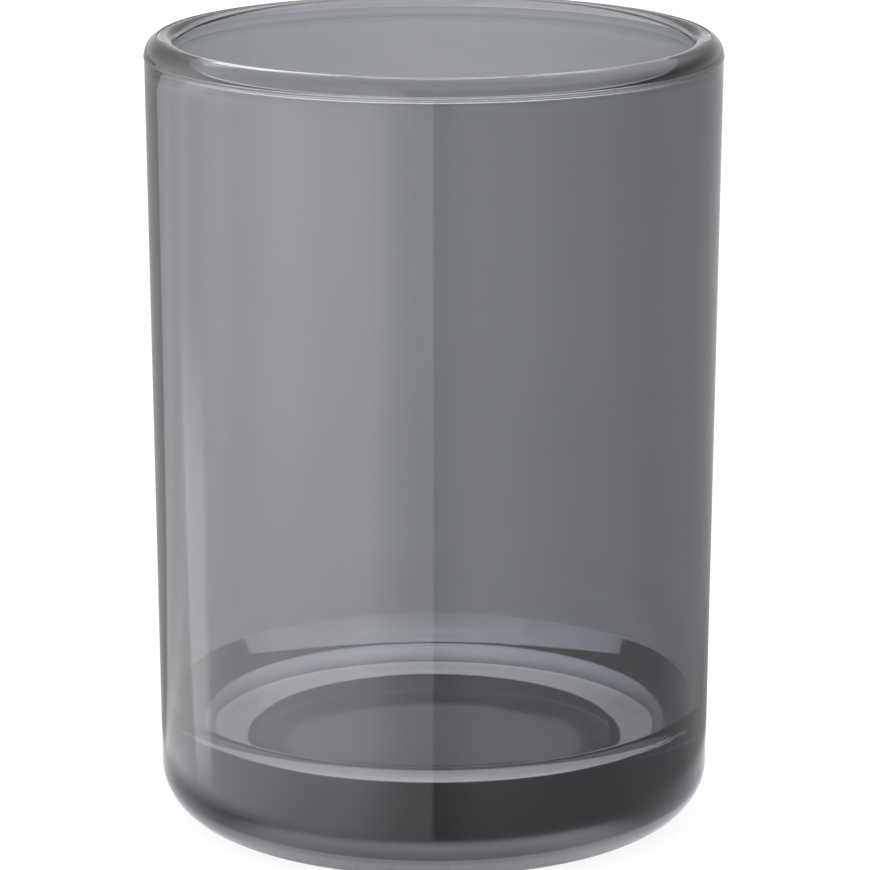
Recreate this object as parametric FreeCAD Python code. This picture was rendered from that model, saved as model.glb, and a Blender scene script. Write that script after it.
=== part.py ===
import FreeCAD, Part
import math
import os

# Bathroom tumbler: one piece of clear glass with a smoke lacquer film on its outside.
# Millimetres, +Z up, origin on the axis in the plane that the glass stands on.
# Every piece is a body of revolution, drawn as a half section (radius, height).

# Outside of the glass
height = 100.0
wall_radius_top = 36.0
wall_radius_base = 35.0
heel_radius = 6.35

# Underside: a flat standing ring around a shallow domed recess with a sloping edge
standing_ring_width = 4.4
recess_slope_width = 1.2
recess_depth = 1.6
recess_dome = 0.5

# Rim: a rounded band that is thicker than the wall and ends below in a small inner lip
rim_width = 3.7
rim_outer_rounding = 2.2
rim_inner_rounding = 1.25
lip_height = 2.55
lip_lean = 12.0
lip_edge_rounding = 0.2
lip_fillet = 0.15

# Seam of the mould: a fine ridge around the outside, just under the rounding of the rim
seam_ridge_width = 0.3
seam_ridge_height = 0.08

# Inside of the glass
wall_thickness_top = 1.8
wall_thickness_waist = 1.28
wall_thickness_base = 1.72
waist_height = 55.0
floor_thickness = 12.0

# Cove between the wall and the floor: a sloping flank, rounded into both
cove_height = 3.3
cove_angle = 45.0
cove_top_rounding = 0.8
cove_floor_rounding = 4.8

# Lacquer film
film_thickness = 0.1
film_heel_stop = 12.0
film_rim_stop = 70.0
film_ring_gap = 0.4

# Places that follow from the sizes above
full_turn = 360.0
closing_gap = 1e-6
axis_point = FreeCAD.Vector(0, 0, 0)
axis_direction = FreeCAD.Vector(0, 0, 1)
seam_height = height - rim_outer_rounding
ridge_height = seam_height - seam_ridge_width / 2
ridge_start = seam_height - seam_ridge_width
ring_outer = wall_radius_base - heel_radius
ring_inner = ring_outer - standing_ring_width
recess_radius = ring_inner - recess_slope_width
heel_centre = (ring_outer, heel_radius)
rim_centre = (wall_radius_top - rim_outer_rounding, seam_height)
mouth_centre = (wall_radius_top - rim_width + rim_inner_rounding, height - rim_inner_rounding)
dome_radius = (recess_radius ** 2 + recess_dome ** 2) / (2 * recess_dome)
dome_centre = (0, recess_depth + recess_dome - dome_radius)
dome_edge_angle = math.degrees(math.acos(recess_radius / dome_radius))


def outer_radius(level):
    """Outside radius of the glass wall at a height between the heel and the seam."""
    share = (level - heel_radius) / (seam_height - heel_radius)
    return wall_radius_base + (wall_radius_top - wall_radius_base) * share


def on_circle(centre, radius, degrees):
    """Point of a circle in the half section."""
    turn = math.radians(degrees)
    return (centre[0] + radius * math.cos(turn), centre[1] + radius * math.sin(turn))


class Outline:
    """A closed half section, drawn stretch by stretch and turned about the axis."""

    def __init__(self, start):
        self.start = start
        self.end = start
        self.edges = []

    def vector(self, point):
        return FreeCAD.Vector(point[0], 0, point[1])

    def line(self, point):
        self.edges.append(Part.LineSegment(self.vector(self.end), self.vector(point)).toShape())
        self.end = point

    def arc_through(self, middle, point):
        arc = Part.Arc(self.vector(self.end), self.vector(middle), self.vector(point))
        self.edges.append(arc.toShape())
        self.end = point

    def arc(self, centre, radius, from_degrees, to_degrees):
        middle = on_circle(centre, radius, (from_degrees + to_degrees) / 2)
        self.arc_through(middle, on_circle(centre, radius, to_degrees))

    def solid(self):
        if math.dist(self.end, self.start) > closing_gap:
            self.line(self.start)
        face = Part.Face(Part.Wire(self.edges))
        return face.revolve(axis_point, axis_direction, full_turn)


def glass_body():
    """The whole glass: base, wall and rim in one."""
    lean_of_cove = math.radians(cove_angle)
    cove_level = floor_thickness + cove_height
    cove_start = cove_level + cove_top_rounding * math.tan(lean_of_cove / 2)
    inner_top = wall_radius_top - wall_thickness_top
    inner_waist = outer_radius(waist_height) - wall_thickness_waist
    inner_base = outer_radius(cove_start) - wall_thickness_base
    cove_top_centre = (inner_base - cove_top_rounding, cove_start)
    flank_end_height = floor_thickness + cove_floor_rounding * (1 - math.sin(lean_of_cove))
    flank_end = (inner_base - (cove_level - flank_end_height) * math.tan(lean_of_cove), flank_end_height)
    floor_centre_radius = flank_end[0] - cove_floor_rounding * math.cos(lean_of_cove)
    floor_centre = (floor_centre_radius, floor_thickness + cove_floor_rounding)

    # The inner side of the rim leans outwards below the mouth and ends in the edge of the lip
    lean = math.radians(lip_lean)
    face_angle = 180.0 + lip_lean
    face_start = on_circle(mouth_centre, rim_inner_rounding, face_angle)
    lip_level = height - lip_height
    edge_height = lip_level + lip_edge_rounding
    face_end_height = edge_height - lip_edge_rounding * math.sin(lean)
    face_end = (face_start[0] + (face_start[1] - face_end_height) * math.tan(lean), face_end_height)
    edge_centre = (face_end[0] + lip_edge_rounding * math.cos(lean), edge_height)
    fillet_centre = (inner_top - lip_fillet, lip_level - lip_fillet)

    # The lower wall thickens along a shallow arc that leaves the waist upright
    lower_middle_radius = inner_waist - (inner_waist - inner_base) / 4
    lower_middle = (lower_middle_radius, (waist_height + cove_start) / 2)

    ridge_radius = outer_radius(ridge_height) + seam_ridge_height
    outline = Outline((0, recess_depth + recess_dome))
    outline.arc(dome_centre, dome_radius, 90, dome_edge_angle)
    outline.line((ring_inner, 0))
    outline.line((ring_outer, 0))
    outline.arc(heel_centre, heel_radius, -90, 0)
    outline.line((outer_radius(ridge_start), ridge_start))
    outline.arc_through((ridge_radius, ridge_height), (wall_radius_top, seam_height))
    outline.arc(rim_centre, rim_outer_rounding, 0, 90)
    outline.line((mouth_centre[0], height))
    outline.arc(mouth_centre, rim_inner_rounding, 90, face_angle)
    outline.line(face_end)
    outline.arc(edge_centre, lip_edge_rounding, face_angle, 270)
    outline.line((fillet_centre[0], lip_level))
    outline.arc(fillet_centre, lip_fillet, 90, 0)
    outline.line((inner_waist, waist_height))
    outline.arc_through(lower_middle, (inner_base, cove_start))
    outline.arc(cove_top_centre, cove_top_rounding, 0, -cove_angle)
    outline.line(flank_end)
    outline.arc(floor_centre, cove_floor_rounding, -cove_angle, -90)
    outline.line((0, floor_thickness))
    return outline.solid()


def wall_film():
    """Film on the heel, the wall and the outer side of the rim, short of the standing ring and the crest."""
    heel_stop = film_heel_stop - 90
    film_heel = heel_radius + film_thickness
    film_rim = rim_outer_rounding + film_thickness
    film_ridge = seam_ridge_height + film_thickness
    ridge_widening = film_thickness / 2
    ridge_end_angle = math.degrees(math.asin(ridge_widening / film_rim))
    film_ridge_start = ridge_start - ridge_widening
    ridge_radius = outer_radius(ridge_height)

    outline = Outline(on_circle(heel_centre, heel_radius, heel_stop))
    outline.arc(heel_centre, heel_radius, heel_stop, 0)
    outline.line((outer_radius(ridge_start), ridge_start))
    outline.arc_through((ridge_radius + seam_ridge_height, ridge_height), (wall_radius_top, seam_height))
    outline.arc(rim_centre, rim_outer_rounding, 0, film_rim_stop)
    outline.line(on_circle(rim_centre, film_rim, film_rim_stop))
    outline.arc(rim_centre, film_rim, film_rim_stop, ridge_end_angle)
    outer_ridge_start = (outer_radius(film_ridge_start) + film_thickness, film_ridge_start)
    outline.arc_through((ridge_radius + film_ridge, ridge_height), outer_ridge_start)
    outline.line((wall_radius_base + film_thickness, heel_radius))
    outline.arc(heel_centre, film_heel, 0, heel_stop)
    return outline.solid()


def base_film():
    """Film in the recess of the underside, short of the standing ring."""
    slope_length = math.hypot(recess_slope_width, recess_depth)
    inwards = recess_slope_width / slope_length
    upwards = recess_depth / slope_length
    edge = (ring_inner - film_ring_gap * inwards, film_ring_gap * upwards)
    edge_below = (edge[0] - film_thickness * upwards, edge[1] - film_thickness * inwards)

    # Where the lower face of the slope meets the lower face of the dome
    film_dome = dome_radius - film_thickness
    from_centre = (edge_below[0] - dome_centre[0], edge_below[1] - dome_centre[1])
    along = upwards * from_centre[1] - inwards * from_centre[0]
    missing = film_dome ** 2 - from_centre[0] ** 2 - from_centre[1] ** 2
    reach = math.sqrt(along ** 2 + missing) - along
    corner = (edge_below[0] - reach * inwards, edge_below[1] + reach * upwards)
    corner_angle = math.degrees(math.acos(corner[0] / film_dome))

    outline = Outline((0, recess_depth + recess_dome))
    outline.line((0, recess_depth + recess_dome - film_thickness))
    outline.arc(dome_centre, film_dome, 90, corner_angle)
    outline.line(edge_below)
    outline.line(edge)
    outline.line((recess_radius, recess_depth))
    outline.arc(dome_centre, dome_radius, dome_edge_angle, 90)
    return outline.solid()


os.makedirs("parts", exist_ok=True)
pieces = {
    "glass_body": glass_body(),
    "wall_film": wall_film(),
    "base_film": base_film(),
}
for name, shape in pieces.items():
    shape.exportStep(f"parts/{name}.step")
    print(name, "valid" if shape.isValid() else "NOT VALID", "volume", round(shape.Volume, 2))
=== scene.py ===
import math

import bpy
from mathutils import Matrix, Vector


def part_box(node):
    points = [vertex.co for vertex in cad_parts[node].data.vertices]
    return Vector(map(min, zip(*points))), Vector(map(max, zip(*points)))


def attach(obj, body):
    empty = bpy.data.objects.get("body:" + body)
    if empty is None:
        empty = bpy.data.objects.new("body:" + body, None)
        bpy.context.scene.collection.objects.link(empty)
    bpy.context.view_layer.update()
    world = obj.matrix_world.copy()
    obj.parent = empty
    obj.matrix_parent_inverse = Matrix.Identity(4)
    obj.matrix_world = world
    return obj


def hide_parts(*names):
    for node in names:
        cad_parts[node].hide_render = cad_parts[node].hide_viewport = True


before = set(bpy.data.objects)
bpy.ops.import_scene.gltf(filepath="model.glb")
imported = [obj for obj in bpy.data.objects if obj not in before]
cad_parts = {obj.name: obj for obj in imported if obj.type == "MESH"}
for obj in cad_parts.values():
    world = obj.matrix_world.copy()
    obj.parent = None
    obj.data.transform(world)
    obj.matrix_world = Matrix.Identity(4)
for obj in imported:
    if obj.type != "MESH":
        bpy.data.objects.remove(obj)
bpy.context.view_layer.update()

# Lengths in metres, in the frame of the solids. The script repeats the sizes of the solids' half sections.
MM = 0.001
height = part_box("glass_body")[1].z
wall_radius_top = 36.0 * MM
wall_radius_base = 35.0 * MM
heel_radius = 6.35 * MM
standing_ring_width = 4.4 * MM
recess_slope_width = 1.2 * MM
recess_depth = 1.6 * MM
recess_dome = 0.5 * MM
rim_width = 3.7 * MM
rim_outer_rounding = 2.2 * MM
rim_inner_rounding = 1.25 * MM
lip_height = 2.55 * MM
lip_lean = 12.0
lip_edge_rounding = 0.2 * MM
lip_fillet = 0.15 * MM
seam_ridge_width = 0.3 * MM
seam_ridge_height = 0.08 * MM
wall_thickness_top = 1.8 * MM
wall_thickness_waist = 1.28 * MM
wall_thickness_base = 1.72 * MM
waist_height = 55.0 * MM
floor_thickness = 12.0 * MM
cove_height = 3.3 * MM
cove_angle = 45.0
cove_top_rounding = 0.8 * MM
cove_floor_rounding = 4.8 * MM
film_thickness = 0.1 * MM
film_heel_stop = 12.0
film_rim_stop = 70.0
film_ring_gap = 0.4 * MM

# The film is held this far off the glass, so that their faces never lie on each other
film_clearance = 0.012 * MM

# Fineness of the turned meshes
turn_steps = 256
arc_step = 4.0
small_arc_steps = 6
film_ridge_steps = 8
cove_top_steps = 12
cove_floor_steps = 24
dome_steps = 16
wall_step = 2.5 * MM
fine_step = 0.4 * MM
sharp_angle = 40.0
axis_radius = 1e-9

# Places that follow from the sizes above
seam_height = height - rim_outer_rounding
ridge_height = seam_height - seam_ridge_width / 2
ridge_start = seam_height - seam_ridge_width
ring_outer = wall_radius_base - heel_radius
ring_inner = ring_outer - standing_ring_width
recess_radius = ring_inner - recess_slope_width
heel_centre = (ring_outer, heel_radius)
rim_centre = (wall_radius_top - rim_outer_rounding, seam_height)
mouth_centre = (wall_radius_top - rim_width + rim_inner_rounding, height - rim_inner_rounding)
dome_radius = (recess_radius ** 2 + recess_dome ** 2) / (2 * recess_dome)
dome_centre = (0, recess_depth + recess_dome - dome_radius)
slope_length = math.hypot(recess_slope_width, recess_depth)
slope_inwards = recess_slope_width / slope_length
slope_upwards = recess_depth / slope_length

# Optics: the tints say how much light one upright crossing of the film lets through
GLASS_INDEX = 1.52
WALL_FILM_TINT = (0.385, 0.395, 0.42)
BASE_FILM_TINT = (0.36, 0.355, 0.39)

# Unevenness of the surfaces: size across, fineness, and relief or share of the dye
GLASS_WAVE_SIZE = 16 * MM
GLASS_WAVE_RELIEF = 0.01 * MM
LACQUER_PEEL_SIZE = 1.4 * MM
LACQUER_PEEL_RELIEF = 0.0006 * MM
RELIEF_DETAIL = 2.0
DYE_CLOUD_SIZE = 14 * MM
DYE_CLOUD_DETAIL = 3.0
DYE_CLOUD_SHARE = 0.1
DYE_GRAIN_SIZE = 0.5 * MM
DYE_GRAIN_DETAIL = 1.0
DYE_GRAIN_SHARE = 0.06

# Light and shade painted on the floor, where 1 is white; the glass reflects them and shows them through it.
# Places on the floor are in millimetres from the axis of the glass, directions in degrees from the front,
# minus to the left. A pair says where a soft edge starts and ends.
# The pairs from side to back and from side to front run from -1 at the front to 1 at the back.
# Painted shadow and painted ring of light on the floor around the foot, in front, at the sides and at the
# back.
FRONT_RING = [
    (0, 0.7), (11, 0.7), (15, 0.0), (20, 0.0), (24, 0.9),
    (27, 0.8), (31, 0.5), (34, 1.9), (42, 3.5), (54, 1.2)]
SIDE_RING = [(0, 0.8), (18, 0.9), (20.5, 0.2), (22.5, 0.2), (25, 0.6), (30, 0.6), (33, 1.0), (54, 0.9)]
BACK_RING = [
    (0, 0.8), (16, 0.8), (18.5, 0.0), (23.5, 0.0), (25, 1.0),
    (29, 0.9), (37, 2.1), (42, 1.5), (54, 1.0)]
RING_REACH = 60
RING_EDGE = (45.0, 54.0)
SIDE_TO_BACK = (0.35, 0.8)
SIDE_TO_FRONT = (-0.5, -0.85)
# Light painted on the open floor, left and right of the front.
LEFT_LIGHT = [
    (-175, 0.2), (-140, 0.2), (-125, 0.34), (-112, 0.5),
    (-87, 0.8), (-57, 1.0), (-30, 0.9), (-4, 0.5)]
RIGHT_LIGHT = [(0, 0.25), (15, 0.36), (62, 0.27), (94, 0.18), (140, 0.12), (175, 0.12)]
LIGHT_AT_FOOT = 1.6
LIGHT_GAIN = 3.4
LIGHT_GAIN_LENGTH = 120.0
LEFT_TO_RIGHT = (-1.2, 0.6)
# Painted fan of light on the floor to the left of the glass.
STREAK_ACROSS = (-0.45, -0.9)
STREAK_OFFSET = 33.0
STREAK_START = 30.0
STREAK_SLOPE = (0.19, 0.1)
STREAK_NEAR_EDGE = (-45.0, -65.0)
STREAK_FAR_EDGE = (340.0, 160.0)
# Painted shadow on the floor at the back left.
SHADE_ACROSS = (-0.79, -0.61)
SHADE_EDGE = (26.0, 20.0)
SHADE_LIGHT = 0.5
FLOOR_BEHIND_GLASS = 0.87
FLOOR_GREY = (0.9, 0.9, 0.9, 1)
FLOOR_SHADOW = 0.1
# Violet tint of the light painted on the floor in front of the foot.
PAINTED_LIGHT_TINT = (1.0, 0.96, 1.04, 1)
TONE_INNER_EDGE = (30.0, 36.0)
TONE_OUTER_EDGE = (150.0, 70.0)
TONE_BACK_EDGE = (20.0, 0.0)
WHITE = (1, 1, 1, 1)

# Light of the sky, by the x, y and z of the direction that it comes from
SKY_COLOUR = (0.8, 0.8, 0.8, 1)
HORIZON_EDGE = (0.02, 0.25)
HORIZON_LIGHT = 1.0
SKY_LIGHT = 0.7
OVERHEAD_EDGE = (0.3, 0.85)
OVERHEAD_LIGHT = 2.4
LEFT_SKY_EDGE = (0.05, -0.35)
LEFT_SKY_BACK_EDGE = (0.95, 0.2)
LEFT_SKY_LIGHT = 2.9
FRONT_SKY_EDGE = (0.1, -0.5)
FRONT_SKY_LIGHT = 1.4

# Camera at the photograph's viewing angle, for a square frame of this many pixels
FRAME_PIXELS = 870
FOCAL_PIXELS = 4448.17
CAMERA_PLACE = (0, -0.550, 0.18372)
CAMERA_DOWN = 13.8
CAMERA_SHIFT_PIXELS = 1
SENSOR_WIDTH = 36.0


def on_circle(centre, radius, degrees):
    """Point of a circle in the half section."""
    turn = math.radians(degrees)
    return (centre[0] + radius * math.cos(turn), centre[1] + radius * math.sin(turn))


def outer_radius(level):
    """Outside radius of the glass wall at a height between the heel and the seam."""
    share = (level - heel_radius) / (seam_height - heel_radius)
    return wall_radius_base + (wall_radius_top - wall_radius_base) * share


class Section:
    """Half section of a turned piece: its points (radius, height) and the material slot of each stretch."""

    def __init__(self, start):
        self.points = [start]
        self.slots = []

    def add(self, point, slot):
        self.points.append(point)
        self.slots.append(slot)

    def line(self, end, slot, step=wall_step):
        start = self.points[-1]
        count = max(1, round(math.dist(start, end) / step))
        for k in range(1, count + 1):
            share = k / count
            radius = start[0] + (end[0] - start[0]) * share
            self.add((radius, start[1] + (end[1] - start[1]) * share), slot)

    def arc(self, centre, radius, from_degrees, to_degrees, slot, least=2):
        count = max(least, math.ceil(abs(to_degrees - from_degrees) / arc_step))
        for k in range(1, count + 1):
            self.add(on_circle(centre, radius, from_degrees + (to_degrees - from_degrees) * k / count), slot)

    def bulge(self, end, rise, slot, count=small_arc_steps):
        """Flat bow from the last point to end, out to rise in radius at its middle."""
        start = self.points[-1]
        for k in range(1, count + 1):
            share = k / count
            bow = rise * 4 * share * (1 - share)
            radius = start[0] + (end[0] - start[0]) * share + bow
            self.add((radius, start[1] + (end[1] - start[1]) * share), slot)


def turn_section(name, section, materials, closed):
    """Turns a half section about Z into one closed mesh."""
    points = section.points[:-1] if closed else section.points
    vertices = []
    rings = []
    for radius, level in points:
        if radius < axis_radius:
            rings.append([len(vertices)] * turn_steps)
            vertices.append((0, 0, level))
            continue
        rings.append(range(len(vertices), len(vertices) + turn_steps))
        for k in range(turn_steps):
            angle = 2 * math.pi * k / turn_steps
            vertices.append((radius * math.cos(angle), radius * math.sin(angle), level))
    if closed:
        rings.append(rings[0])
    faces = []
    face_slots = []
    for lower, upper, slot in zip(rings, rings[1:], section.slots):
        for k in range(turn_steps):
            after = (k + 1) % turn_steps
            corners = dict.fromkeys((lower[k], lower[after], upper[after], upper[k]))
            faces.append(tuple(corners))
            face_slots.append(slot)
    mesh = bpy.data.meshes.new(name)
    mesh.from_pydata(vertices, [], faces)
    for material in materials:
        mesh.materials.append(material)
    mesh.polygons.foreach_set("material_index", face_slots)
    mesh.polygons.foreach_set("use_smooth", [True] * len(faces))
    mesh.update()
    mesh.set_sharp_from_angle(angle=math.radians(sharp_angle))
    piece = bpy.data.objects.new(name, mesh)
    bpy.context.scene.collection.objects.link(piece)
    return piece


def recess_edge(depth):
    """Where the film on the slope of the recess stops, at a depth below the glass."""
    along = (ring_inner - film_ring_gap * slope_inwards, film_ring_gap * slope_upwards)
    return (along[0] - depth * slope_upwards, along[1] - depth * slope_inwards)


def recess_corner(depth):
    """Where the slope of the recess meets its dome, at a depth below the glass."""
    start = recess_edge(depth)
    away = (start[0] - dome_centre[0], start[1] - dome_centre[1])
    along = slope_upwards * away[1] - slope_inwards * away[0]
    missing = (dome_radius - depth) ** 2 - away[0] ** 2 - away[1] ** 2
    reach = math.sqrt(along ** 2 + missing) - along
    return (start[0] - reach * slope_inwards, start[1] + reach * slope_upwards)


def add_dome(section, depth, outwards, slot):
    """Dome of the recess at a depth below the glass, from the axis outwards or back."""
    radius = dome_radius - depth
    edge = recess_corner(depth)[0]
    for k in range(1, dome_steps + 1):
        place = edge * (k / dome_steps if outwards else 1 - k / dome_steps)
        section.add((place, dome_centre[1] + math.sqrt(radius ** 2 - place ** 2)), slot)


def glass_section():
    """Slot 0 is bare glass, slot 1 is glass under the film."""
    bare, covered = 0, 1
    lean_of_cove = math.radians(cove_angle)
    cove_level = floor_thickness + cove_height
    cove_start = cove_level + cove_top_rounding * math.tan(lean_of_cove / 2)
    inner_top = wall_radius_top - wall_thickness_top
    inner_waist = outer_radius(waist_height) - wall_thickness_waist
    inner_base = outer_radius(cove_start) - wall_thickness_base
    cove_top_centre = (inner_base - cove_top_rounding, cove_start)
    flank_end_height = floor_thickness + cove_floor_rounding * (1 - math.sin(lean_of_cove))
    flank_end = (inner_base - (cove_level - flank_end_height) * math.tan(lean_of_cove), flank_end_height)
    floor_centre_radius = flank_end[0] - cove_floor_rounding * math.cos(lean_of_cove)
    floor_centre = (floor_centre_radius, floor_thickness + cove_floor_rounding)
    lean = math.radians(lip_lean)
    face_angle = 180.0 + lip_lean
    face_start = on_circle(mouth_centre, rim_inner_rounding, face_angle)
    lip_level = height - lip_height
    edge_height = lip_level + lip_edge_rounding
    face_end_height = edge_height - lip_edge_rounding * math.sin(lean)
    face_end = (face_start[0] + (face_start[1] - face_end_height) * math.tan(lean), face_end_height)
    edge_centre = (face_end[0] + lip_edge_rounding * math.cos(lean), edge_height)
    fillet_centre = (inner_top - lip_fillet, lip_level - lip_fillet)

    section = Section((0, recess_depth + recess_dome))
    add_dome(section, 0, True, covered)
    section.line(recess_edge(0), covered, fine_step)
    section.line((ring_inner, 0), bare, fine_step)
    section.line((ring_outer, 0), bare, fine_step)
    section.arc(heel_centre, heel_radius, -90, film_heel_stop - 90, bare)
    section.arc(heel_centre, heel_radius, film_heel_stop - 90, 0, covered)
    section.line((outer_radius(ridge_start), ridge_start), covered)
    section.bulge((wall_radius_top, seam_height), seam_ridge_height, covered)
    section.arc(rim_centre, rim_outer_rounding, 0, film_rim_stop, covered)
    section.arc(rim_centre, rim_outer_rounding, film_rim_stop, 90, bare)
    section.line((mouth_centre[0], height), bare)
    section.arc(mouth_centre, rim_inner_rounding, 90, face_angle, bare)
    section.line(face_end, bare, fine_step)
    section.arc(edge_centre, lip_edge_rounding, face_angle, 270, bare, small_arc_steps)
    section.line((fillet_centre[0], lip_level), bare, fine_step)
    section.arc(fillet_centre, lip_fillet, 90, 0, bare, small_arc_steps)
    section.line((inner_waist, waist_height), bare)
    drop = waist_height - cove_start
    steps = round(drop / wall_step)
    for k in range(1, steps + 1):
        share = k / steps
        radius = inner_waist - (inner_waist - inner_base) * share ** 2
        section.add((radius, waist_height - drop * share), bare)
    section.arc(cove_top_centre, cove_top_rounding, 0, -cove_angle, bare, cove_top_steps)
    section.line(flank_end, bare, fine_step)
    section.arc(floor_centre, cove_floor_rounding, -cove_angle, -90, bare, cove_floor_steps)
    section.line((0, floor_thickness), bare)
    return section


def wall_film_section():
    """Slot 0 is the polished outside, slot 1 the tinted face on the glass."""
    outside, inside = 0, 1
    heel_stop = film_heel_stop - 90
    inner_heel = heel_radius + film_clearance
    inner_rim = rim_outer_rounding + film_clearance
    outer_heel = heel_radius + film_thickness
    outer_rim = rim_outer_rounding + film_thickness
    ridge_widening = film_thickness / 2
    ridge_end_angle = math.degrees(math.asin(ridge_widening / outer_rim))
    outer_ridge_start = ridge_start - ridge_widening

    section = Section(on_circle(heel_centre, outer_heel, heel_stop))
    section.arc(heel_centre, outer_heel, heel_stop, 0, outside)
    section.line((outer_radius(outer_ridge_start) + film_thickness, outer_ridge_start), outside)
    ridge_end = on_circle(rim_centre, outer_rim, ridge_end_angle)
    section.bulge(ridge_end, seam_ridge_height, outside, film_ridge_steps)
    section.arc(rim_centre, outer_rim, ridge_end_angle, film_rim_stop, outside)
    section.line(on_circle(rim_centre, inner_rim, film_rim_stop), outside)
    section.arc(rim_centre, inner_rim, film_rim_stop, 0, inside)
    section.bulge((outer_radius(ridge_start) + film_clearance, ridge_start), seam_ridge_height, inside)
    section.line((wall_radius_base + film_clearance, heel_radius), inside)
    section.arc(heel_centre, inner_heel, 0, heel_stop, inside)
    section.line(section.points[0], outside)
    return section


def base_film_section():
    """Slot 0 is the polished underside, slot 1 the tinted face on the glass."""
    outside, inside = 0, 1
    section = Section((0, recess_depth + recess_dome - film_thickness))
    add_dome(section, film_thickness, True, outside)
    section.line(recess_edge(film_thickness), outside, fine_step)
    section.line(recess_edge(film_clearance), outside)
    section.line(recess_corner(film_clearance), inside, fine_step)
    add_dome(section, film_clearance, False, inside)
    return section


class Graph:
    """Short ways to add nodes to a material's or the world's tree."""

    def __init__(self, owner):
        owner.use_nodes = True
        self.tree = owner.node_tree
        self.tree.nodes.clear()

    def node(self, kind, **values):
        made = self.tree.nodes.new("ShaderNode" + kind)
        for name, value in values.items():
            setattr(made, name, value)
        return made

    def put(self, socket, value):
        if isinstance(value, bpy.types.NodeSocket):
            self.tree.links.new(value, socket)
        else:
            socket.default_value = value

    def math(self, operation, *values):
        made = self.node("Math", operation=operation)
        for socket, value in zip(made.inputs, values):
            self.put(socket, value)
        return made.outputs[0]

    def step(self, value, low, high, at_low=0.0, at_high=1.0):
        """Smooth step from at_low to at_high while value goes from low to high."""
        made = self.node("MapRange", interpolation_type="SMOOTHSTEP")
        for socket, number in zip(made.inputs, (value, low, high, at_low, at_high)):
            self.put(socket, number)
        return made.outputs[0]

    def ramp(self, value, low, high, stops):
        """Grey level through stops (place, level), for places from low to high."""
        top = max(level for place, level in stops)
        made = self.node("ValToRGB")
        elements = made.color_ramp.elements
        while len(elements) < len(stops):
            elements.new(0.5)
        for element, (place, level) in zip(elements, sorted(stops)):
            element.position = (place - low) / (high - low)
            element.color = (level / top, level / top, level / top, 1)
        made.color_ramp.interpolation = "EASE"
        share = self.math("DIVIDE", self.math("SUBTRACT", value, low), high - low)
        self.put(made.inputs[0], share)
        return self.math("MULTIPLY", made.outputs[0], top)

    def blend(self, share, first, second):
        """Number between first (share 0) and second (share 1)."""
        made = self.node("Mix", data_type="FLOAT")
        self.put(made.inputs[0], share)
        self.put(made.inputs[2], first)
        self.put(made.inputs[3], second)
        return made.outputs[0]

    def along(self, x, y, direction):
        """Distance of a place from the axis, measured in one direction on the floor."""
        return self.math("MULTIPLY_ADD", x, direction[0], self.math("MULTIPLY", y, direction[1]))

    def floor_place(self):
        """Place on the floor in the part's frame, as x and y in millimetres."""
        split = self.node("SeparateXYZ")
        self.put(split.inputs[0], self.node("NewGeometry").outputs["Position"])
        return [self.math("MULTIPLY", split.outputs[k], 1 / MM) for k in range(2)]

    def noise(self, size, detail):
        """Cloudy value around one half, in patches of a size in metres."""
        made = self.node("TexNoise")
        self.put(made.inputs["Vector"], self.node("TexCoord").outputs["Object"])
        made.inputs["Scale"].default_value = 1 / size
        made.inputs["Detail"].default_value = detail
        return made.outputs[0]

    def uneven(self, size, detail, share):
        """Factor that varies around one by half a share up and down."""
        return self.math("ADD", self.math("MULTIPLY", self.noise(size, detail), share), 1 - share / 2)

    def glow(self, kind, strength, colour=WHITE):
        """Shader that gives off light: Emission for a surface, Background for the world."""
        made = self.node(kind)
        self.put(made.inputs["Color"], colour)
        self.put(made.inputs["Strength"], strength)
        return made.outputs[0]

    def mix(self, share, first, second):
        """Shader between first (share 0) and second (share 1)."""
        made = self.node("MixShader")
        self.put(made.inputs["Fac"], share)
        self.put(made.inputs[1], first)
        self.put(made.inputs[2], second)
        return made.outputs[0]

    def finish(self, shader, kind="Material"):
        output = self.node("Output" + kind)
        self.put(output.inputs["Surface"], shader)


def glassy(name, size, relief):
    """Polished see-through face with a faint unevenness: its size across and its relief, in metres."""
    material = bpy.data.materials.new(name)
    graph = Graph(material)
    bump = graph.node("Bump")
    bump.inputs["Strength"].default_value = 1.0
    bump.inputs["Distance"].default_value = relief
    graph.put(bump.inputs["Height"], graph.noise(size, RELIEF_DETAIL))
    shader = graph.node("BsdfPrincipled")
    shader.inputs["Base Color"].default_value = WHITE
    shader.inputs["Roughness"].default_value = 0.0
    shader.inputs["IOR"].default_value = GLASS_INDEX
    shader.inputs["Transmission Weight"].default_value = 1.0
    graph.put(shader.inputs["Normal"], bump.outputs[0])
    graph.finish(shader.outputs[0])
    return material


def joined_face(name):
    """Face where two layers of the same index touch: light goes straight through."""
    material = bpy.data.materials.new(name)
    graph = Graph(material)
    shader = graph.node("BsdfTransparent")
    shader.inputs["Color"].default_value = WHITE
    graph.finish(shader.outputs[0])
    return material


def smoke_tint(name, tint):
    """The film's dye, slightly uneven: light that crosses at a slant crosses more of it."""
    material = bpy.data.materials.new(name)
    graph = Graph(material)
    facing = graph.node("LayerWeight")
    facing.inputs["Blend"].default_value = 0.5
    upright = graph.math("SUBTRACT", 1.0, facing.outputs["Facing"])
    cloud = graph.uneven(DYE_CLOUD_SIZE, DYE_CLOUD_DETAIL, DYE_CLOUD_SHARE)
    grain = graph.uneven(DYE_GRAIN_SIZE, DYE_GRAIN_DETAIL, DYE_GRAIN_SHARE)
    path = graph.math("DIVIDE", graph.math("MULTIPLY", cloud, grain), upright)
    channels = graph.node("CombineColor")
    for socket, share in zip(channels.inputs, tint):
        graph.put(socket, graph.math("POWER", share, path))
    shader = graph.node("BsdfTransparent")
    graph.put(shader.inputs["Color"], channels.outputs[0])
    graph.finish(shader.outputs[0])
    return material


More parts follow.
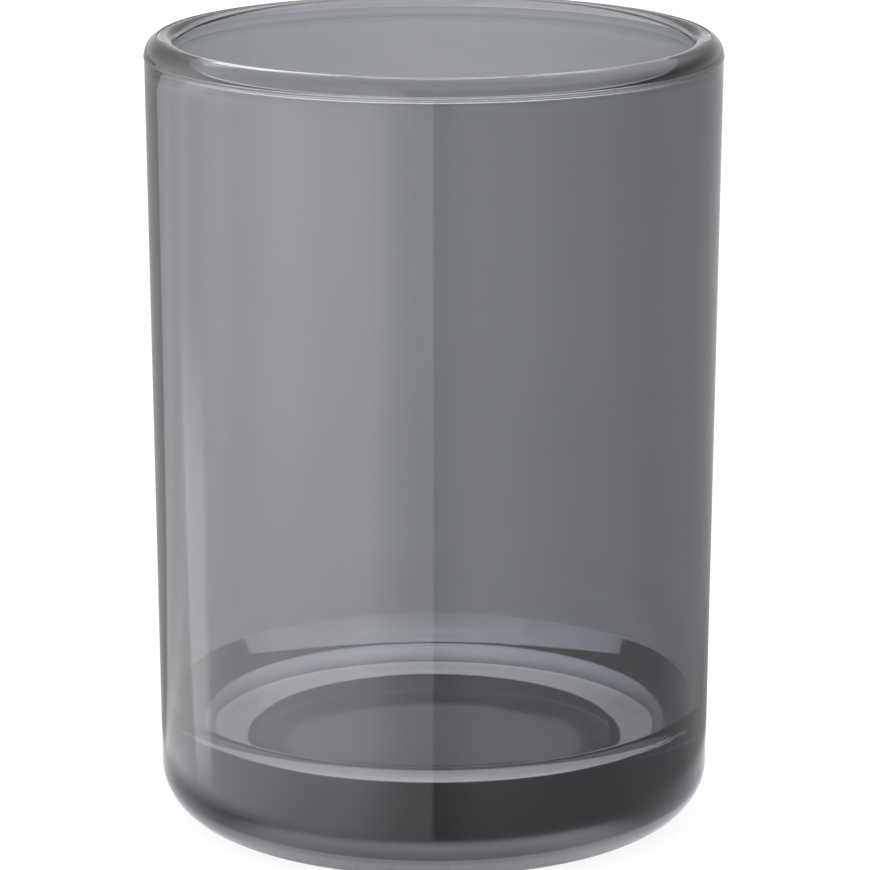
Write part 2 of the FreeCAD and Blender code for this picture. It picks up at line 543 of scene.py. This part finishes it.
def build_tumbler():
    """The three pieces, each in place of its solid."""
    polished = glassy("polished_glass", GLASS_WAVE_SIZE, GLASS_WAVE_RELIEF)
    joined = joined_face("glass_under_film")
    lacquer = glassy("lacquer_face", LACQUER_PEEL_SIZE, LACQUER_PEEL_RELIEF)
    wall_tint = smoke_tint("wall_smoke", WALL_FILM_TINT)
    base_tint = smoke_tint("base_smoke", BASE_FILM_TINT)
    glass = turn_section("tumbler_glass", glass_section(), [polished, joined], False)
    wall = turn_section("tumbler_wall_film", wall_film_section(), [lacquer, wall_tint], True)
    base = turn_section("tumbler_base_film", base_film_section(), [lacquer, base_tint], False)
    for piece, node, slot in (
        (glass, "glass_body", "clear_glass"),
        (wall, "wall_film", "smoke_lacquer"),
        (base, "base_film", "smoke_lacquer"),
    ):
        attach(piece, "root")
        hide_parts(node)


def painted_foot_light(graph, y, radius):
    """Light and shade painted on the floor under and close to the glass, where the glass would gather some
    light and shade some.
    """
    facing = graph.math("DIVIDE", y, radius)
    front = graph.ramp(radius, 0, RING_REACH, FRONT_RING)
    side = graph.ramp(radius, 0, RING_REACH, SIDE_RING)
    back = graph.ramp(radius, 0, RING_REACH, BACK_RING)
    light = graph.blend(graph.step(facing, *SIDE_TO_BACK), side, back)
    return graph.blend(graph.step(facing, *SIDE_TO_FRONT), light, front)


def painted_streak_light(graph, x, y, radius):
    """Painted fan of light on the floor to the left of the glass, where the glass would throw light."""
    across = graph.along(x, y, STREAK_ACROSS)
    spread = graph.math("ABSOLUTE", graph.math("SUBTRACT", across, STREAK_OFFSET))
    widening = graph.math("SUBTRACT", radius, STREAK_START)
    streak = graph.step(graph.math("DIVIDE", spread, widening), *STREAK_SLOPE)
    streak = graph.math("MULTIPLY", streak, graph.step(x, *STREAK_NEAR_EDGE))
    return graph.math("MULTIPLY", streak, graph.step(radius, *STREAK_FAR_EDGE))


def painted_open_light(graph, x, y, radius):
    """Light painted on the open floor: strong on the left, weak on the right and a painted shadow at the
    back left.
    """
    turn = graph.math("ARCTAN2", x, graph.math("MULTIPLY", y, -1.0))
    azimuth = graph.math("MULTIPLY", turn, 180 / math.pi)
    fade = graph.math("POWER", math.e, graph.math("DIVIDE", radius, -LIGHT_GAIN_LENGTH))
    gain = graph.math("MULTIPLY", graph.math("SUBTRACT", 1.0, fade), LIGHT_GAIN)
    gain = graph.math("ADD", gain, LIGHT_AT_FOOT)
    left = graph.math("MULTIPLY", graph.ramp(azimuth, -180, 180, LEFT_LIGHT), gain)
    left = graph.math("ADD", left, painted_streak_light(graph, x, y, radius))
    # Painted shadow on the floor at the back left.
    shade = graph.step(graph.along(x, y, SHADE_ACROSS), *SHADE_EDGE)
    left = graph.blend(shade, left, SHADE_LIGHT)
    right = graph.math("MULTIPLY", graph.ramp(azimuth, -180, 180, RIGHT_LIGHT), gain)
    return graph.blend(graph.step(azimuth, *LEFT_TO_RIGHT), left, right)


def painted_light_tint(graph, y, radius):
    """Faint violet tint of the light painted on the floor in front of the foot."""
    inner = graph.step(radius, *TONE_INNER_EDGE)
    outer = graph.step(radius, *TONE_OUTER_EDGE)
    foot = graph.math("MULTIPLY", inner, outer)
    tone = graph.node("Mix", data_type="RGBA")
    graph.put(tone.inputs[0], graph.math("MULTIPLY", foot, graph.step(y, *TONE_BACK_EDGE)))
    tone.inputs[6].default_value = WHITE
    tone.inputs[7].default_value = PAINTED_LIGHT_TINT
    return tone.outputs[2]


def floor_with_painted_light():
    """The camera sees the floor white with a faint shadow, the glass shows light and shade painted on it."""
    material = bpy.data.materials.new("floor_with_painted_light")
    graph = Graph(material)
    x, y = graph.floor_place()
    radius = graph.math("SQRT", graph.math("ADD", graph.math("POWER", x, 2.0), graph.math("POWER", y, 2.0)))
    rays = graph.node("LightPath")
    seen_through = rays.outputs["Is Transmission Ray"]
    # Light and shade painted on the floor, for rays that come from the glass.
    far = graph.blend(seen_through, painted_open_light(graph, x, y, radius), FLOOR_BEHIND_GLASS)
    light = graph.blend(graph.step(radius, *RING_EDGE), painted_foot_light(graph, y, radius), far)
    seen = graph.glow("Emission", light, painted_light_tint(graph, y, radius))
    shaded = graph.node("BsdfDiffuse")
    shaded.inputs["Color"].default_value = FLOOR_GREY
    plain = graph.mix(FLOOR_SHADOW, graph.glow("Emission", 1.0), shaded.outputs[0])
    graph.finish(graph.mix(rays.outputs["Is Camera Ray"], seen, plain))
    return material


def build_floor():
    """White floor, plain to the camera and painted with light and shade for the glass, a little below the
    standing ring.
    """
    half = 3.0
    level = -0.05 * MM
    corners = [(-half, -half, level), (half, -half, level), (half, half, level), (-half, half, level)]
    mesh = bpy.data.meshes.new("floor")
    mesh.from_pydata(corners, [], [(0, 1, 2, 3)])
    floor = bpy.data.objects.new("floor", mesh)
    bpy.context.scene.collection.objects.link(floor)
    mesh.materials.append(floor_with_painted_light())


def build_world():
    """White surroundings with soft light from above, from the front and from the left."""
    world = bpy.data.worlds.new("studio")
    bpy.context.scene.world = world
    graph = Graph(world)
    split = graph.node("SeparateXYZ")
    graph.put(split.inputs[0], graph.node("TexCoord").outputs["Generated"])
    x, y, z = split.outputs
    horizon = graph.step(z, *HORIZON_EDGE, HORIZON_LIGHT, SKY_LIGHT)
    overhead = graph.math("MULTIPLY", graph.step(z, *OVERHEAD_EDGE), OVERHEAD_LIGHT)
    side = graph.math("MULTIPLY", graph.step(x, *LEFT_SKY_EDGE), graph.step(y, *LEFT_SKY_BACK_EDGE))
    left = graph.math("MULTIPLY", side, LEFT_SKY_LIGHT)
    front = graph.math("MULTIPLY", graph.step(y, *FRONT_SKY_EDGE), FRONT_SKY_LIGHT)
    strongest = graph.math("MAXIMUM", graph.math("MAXIMUM", left, overhead), front)
    seen = graph.glow("Background", graph.math("ADD", strongest, horizon), SKY_COLOUR)
    white = graph.glow("Background", 1.0)
    graph.finish(graph.mix(graph.node("LightPath").outputs["Is Camera Ray"], seen, white), "World")


def build_camera():
    """Camera in front of the glass, a little above it, looking down."""
    data = bpy.data.cameras.new("camera")
    camera = bpy.data.objects.new("camera", data)
    bpy.context.scene.collection.objects.link(camera)
    camera.location = CAMERA_PLACE
    camera.rotation_euler = (math.radians(90 - CAMERA_DOWN), 0, 0)
    data.sensor_width = SENSOR_WIDTH
    data.lens = FOCAL_PIXELS / FRAME_PIXELS * SENSOR_WIDTH
    data.shift_x = CAMERA_SHIFT_PIXELS / FRAME_PIXELS
    bpy.context.scene.camera = camera


build_tumbler()
build_floor()
build_world()
build_camera()

scene = bpy.context.scene
scene.view_settings.view_transform = "Standard"
scene.cycles.max_bounces = 32
scene.cycles.transmission_bounces = 32
scene.cycles.glossy_bounces = 16
scene.cycles.transparent_max_bounces = 64
